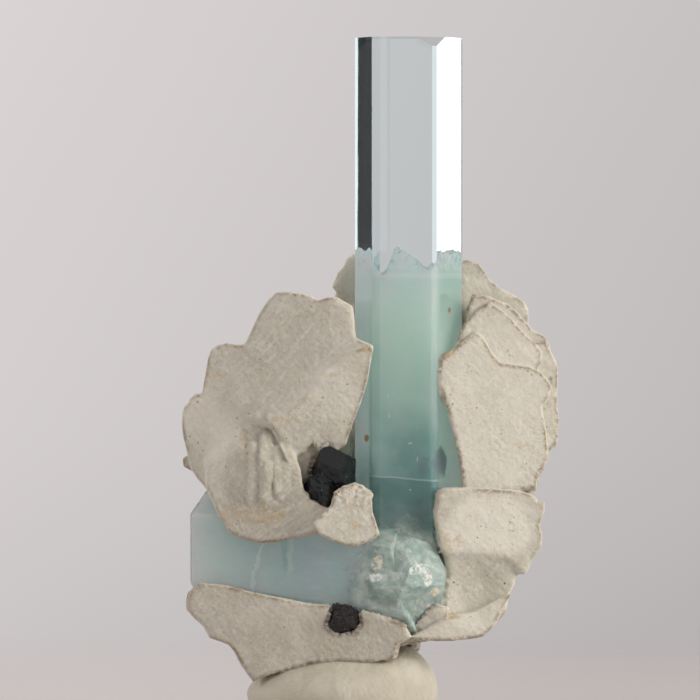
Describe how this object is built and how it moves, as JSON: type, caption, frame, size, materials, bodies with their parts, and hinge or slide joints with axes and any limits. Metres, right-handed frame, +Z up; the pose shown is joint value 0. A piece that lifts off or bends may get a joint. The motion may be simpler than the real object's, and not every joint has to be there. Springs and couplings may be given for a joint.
{
  "type": "aquamarine crystal specimen",
  "caption": "Upright hexagonal aquamarine crystal with a lying one on white bladed albite with black tourmaline, held up by a lump of putty.",
  "frame": {"origin": "centre of the flat underside of the putty that the specimen stands in", "axes": "+Z up along the standing crystal, -Y towards the display side, +X to that side's right"},
  "size_m": [0.0376, 0.0226, 0.0682],
  "materials": {
    "aquamarine": "glossy",
    "albite": "matt",
    "tourmaline": "glossy",
    "putty": "matt"
  },
  "bodies": {
    "root": {"aquamarine_crystals": "aquamarine", "albite_matrix": "albite", "tourmaline_large": "tourmaline", "tourmaline_small": "tourmaline", "tourmaline_behind": "tourmaline", "putty_stand": "putty"}
  },
  "joints": []
}
